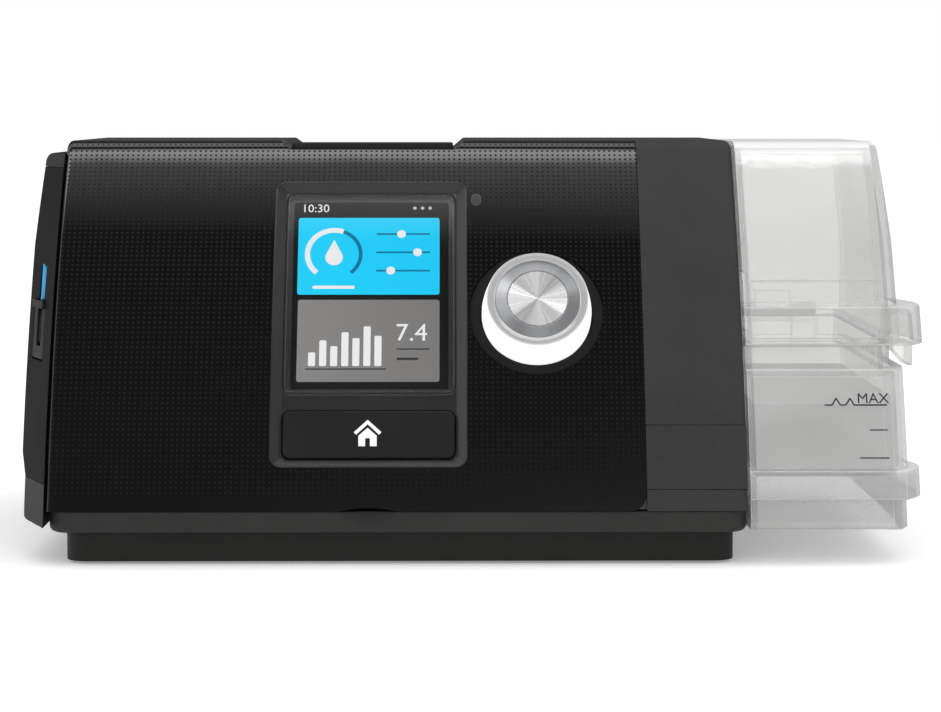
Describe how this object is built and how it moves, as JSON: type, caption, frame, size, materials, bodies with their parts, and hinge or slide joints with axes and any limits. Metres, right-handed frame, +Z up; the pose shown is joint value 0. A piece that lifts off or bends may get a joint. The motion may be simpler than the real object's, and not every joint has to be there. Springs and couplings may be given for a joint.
{
  "type": "cpap machine",
  "caption": "Bedside breathing-air machine with a display, a lit dial, a side memory card and a clear slide-in water tub.",
  "frame": {"origin": "middle of the footprint, on the surface the machine stands on", "axes": "+X to the water tub, -Y to the display side, +Z up"},
  "size_m": [0.2554, 0.1522, 0.116],
  "materials": {
    "gloss_black": "high gloss with a fine dot texture",
    "matte_black": "fine spark texture",
    "rail_black": "fine spark texture",
    "base_black": "satin",
    "cover_black": "satin",
    "frame_black": "semi gloss",
    "glass_dark": "clear, polished",
    "display": "lit display",
    "clear_tub": "clear moulded plastic",
    "light_white": "translucent white, lit from inside",
    "ring_steel": "satin metal ring",
    "disc_aluminium": "spun face",
    "shaft_steel": "turned",
    "rubber_dark": "moulded",
    "rubber_clear": "moulded silicone",
    "screw_steel": "dark zinc",
    "board_green": "solder mask",
    "socket_steel": "stamped",
    "inner_grey": "moulded",
    "inner_white": "moulded",
    "copper": "enamelled winding",
    "foam_grey": "open cell foam",
    "filter_white": "pleated fibre",
    "heater_alloy": "anodised",
    "card_blue": "label on a dark card",
    "lamp_green": "diffusing lens"
  },
  "bodies": {
    "machine": {"base_plate": "base_black", "rubber_feet": "rubber_dark", "base_screws": "screw_steel", "lower_housing": "rail_black", "rear_housing": "matte_black", "front_fascia": "gloss_black", "bay_cover": "matte_black", "name_plate_panel": "matte_black", "side_housing": "cover_black", "side_cover": "cover_black", "screen_frame": "frame_black", "screen_glass": "glass_dark", "lcd_module": "display", "light_sensor_lens": "glass_dark", "dial_seat_ring": "rubber_dark", "main_pcb": "board_green", "start_switch_board": "board_green", "encoder_body": "socket_steel", "card_socket": "socket_steel", "blower_volute_lower": "inner_white", "blower_volute_upper": "inner_white", "motor_stator": "copper", "motor_bearings": "shaft_steel", "blower_suspension": "rubber_clear", "muffler_box": "inner_grey", "muffler_foam": "foam_grey", "inlet_duct": "inner_grey", "blower_outlet_duct": "inner_grey", "flow_sensor": "board_green", "outlet_duct": "inner_grey", "bay_liner": "inner_grey", "heater_plate": "heater_alloy", "heater_pad": "rubber_dark", "dock_air_seals": "rubber_clear", "power_inlet": "base_black", "outlet_seal": "rubber_clear"},
    "tub": {"tub_base": "clear_tub", "tub_contact_plate": "heater_alloy", "tub_seal": "rubber_clear", "tub_hinge_pins": "shaft_steel", "tub_inner_deck": "clear_tub"},
    "lid": {"tub_lid": "clear_tub", "lid_latch_tab": "clear_tub"},
    "dial_carrier": {"encoder_plunger": "shaft_steel"},
    "dial": {"dial_light_ring": "light_white", "dial_cap_ring": "ring_steel", "dial_disc": "disc_aluminium", "encoder_shaft": "shaft_steel"},
    "home": {"home_button": "matte_black"},
    "start": {"start_button": "base_black", "start_led_lens": "lamp_green"},
    "card": {"sd_card": "card_blue"},
    "card_door": {"sd_door": "cover_black"},
    "adapter_door": {"adapter_cover": "cover_black"},
    "filter_door": {"filter_cover": "matte_black", "air_filter": "filter_white"},
    "clip": {"retention_clip": "base_black"},
    "rotor": {"rotor_shaft": "shaft_steel", "impeller": "inner_white"},
    "connector": {"outlet_connector": "inner_grey"}
  },
  "joints": [
    {"name": "tub_slide", "type": "slide", "parent": "machine", "child": "tub", "axis": [1, 0, 0], "range_m": [0, 0.1]},
    {"name": "lid_hinge", "type": "hinge", "parent": "tub", "child": "lid", "pos_m": [0.098, 0.0657, 0.0596], "axis": [-1, 0, 0], "range_deg": [0, 95]},
    {"name": "dial_press", "type": "slide", "parent": "machine", "child": "dial_carrier", "axis": [0, 0.8759, -0.4825], "range_m": [0, 0.0006], "stiffness_N_per_m": 1500, "springref_m": -0.0006},
    {"name": "dial_turn", "type": "hinge", "parent": "dial_carrier", "child": "dial", "pos_m": [0.0178, -0.05212, 0.0685], "axis": [0, -0.8759, 0.4825], "continuous": true},
    {"name": "home_press", "type": "slide", "parent": "machine", "child": "home", "axis": [0, 0.9276, -0.3736], "range_m": [0, 0.0006], "stiffness_N_per_m": 900, "springref_m": -0.0006},
    {"name": "start_press", "type": "slide", "parent": "machine", "child": "start", "axis": [0, 0, -1], "range_m": [0, 0.0005], "stiffness_N_per_m": 900, "springref_m": -0.0006},
    {"name": "card_push", "type": "slide", "parent": "machine", "child": "card", "axis": [1, 0, 0], "range_m": [0, 0.001], "stiffness_N_per_m": 600, "springref_m": -0.0005},
    {"name": "card_door_hinge", "type": "hinge", "parent": "machine", "child": "card_door", "pos_m": [-0.12265, -0.04603, 0.05537], "axis": [0.3911, -0.9203, 0], "range_deg": [0, 80]},
    {"name": "adapter_cover_hinge", "type": "hinge", "parent": "machine", "child": "adapter_door", "pos_m": [-0.12655, 0.0094, 0.062], "axis": [0, 0, 1], "range_deg": [0, 115]},
    {"name": "filter_cover_hinge", "type": "hinge", "parent": "machine", "child": "filter_door", "pos_m": [-0.1056, 0.0748, 0.07], "axis": [0, 0, 1], "range_deg": [0, 115]},
    {"name": "clip_hinge", "type": "hinge", "parent": "machine", "child": "clip", "pos_m": [-0.036, 0.074, 0.0243], "axis": [-1, 0, 0], "range_deg": [0, 90]},
    {"name": "rotor_spin", "type": "hinge", "parent": "machine", "child": "rotor", "pos_m": [-0.044, 0.021, 0.066], "axis": [0, 0, 1], "continuous": true},
    {"name": "connector_pull", "type": "slide", "parent": "machine", "child": "connector", "axis": [0, 1, 0], "range_m": [0, 0.03]}
  ]
}
